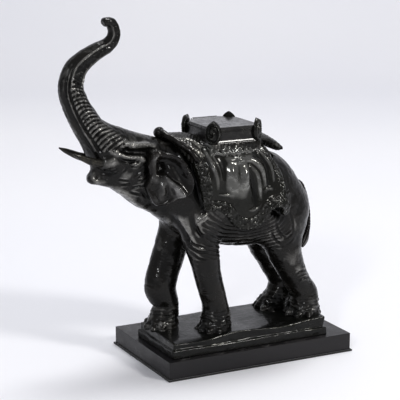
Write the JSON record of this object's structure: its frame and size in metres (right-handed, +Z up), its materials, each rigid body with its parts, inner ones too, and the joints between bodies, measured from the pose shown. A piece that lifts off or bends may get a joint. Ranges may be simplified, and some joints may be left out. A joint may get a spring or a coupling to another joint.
{
  "type": "still bank",
  "caption": "Standing elephant coin bank with raised trunk, saddle cloth and a lidded howdah box, on a cast ground and a plain plinth.",
  "frame": {"origin": "middle of the underside of the felt pad under the plinth", "axes": "+Z up; the elephant faces -X; its left side is -Y"},
  "size_m": [0.258, 0.117, 0.3048],
  "materials": {
    "felt": "matte black felt",
    "plinth_black": "satin black lacquer",
    "ground_iron": "dark brown-black patina, semi-gloss",
    "elephant_iron": "dark brown-black patina, glossy on the high spots",
    "tusk_iron": "dark patina, semi-gloss",
    "saddlery_iron": "dark olive-brown patina, glossy on the high spots",
    "howdah_iron": "satin black patina",
    "ornament_iron": "dark patina, worn brighter on the relief",
    "screw_steel": "plain steel"
  },
  "bodies": {
    "bank": {"base_pad": "felt", "plinth": "plinth_black", "plinth_screws": "screw_steel", "cast_ground": "ground_iron", "foot_screws": "screw_steel", "left_half": "elephant_iron", "right_half": "elephant_iron", "body_screws": "screw_steel", "left_ear": "elephant_iron", "right_ear": "elephant_iron", "ear_pins": "screw_steel", "left_tusk": "tusk_iron", "right_tusk": "tusk_iron", "tail": "elephant_iron", "saddle_cloth": "saddlery_iron", "saddle_pad": "saddlery_iron", "neck_roll": "saddlery_iron", "howdah_box": "howdah_iron", "howdah_screws": "screw_steel", "hinge_pin": "screw_steel", "front_left_ornament": "ornament_iron", "front_right_ornament": "ornament_iron", "rear_left_ornament": "ornament_iron", "rear_right_ornament": "ornament_iron"},
    "lid": {"howdah_lid": "howdah_iron"}
  },
  "joints": [
    {"name": "lid_hinge", "type": "hinge", "parent": "bank", "child": "lid", "pos_m": [-0.0185, 0.0183, 0.208], "axis": [-1, 0, 0], "range_deg": [0, 100]}
  ]
}
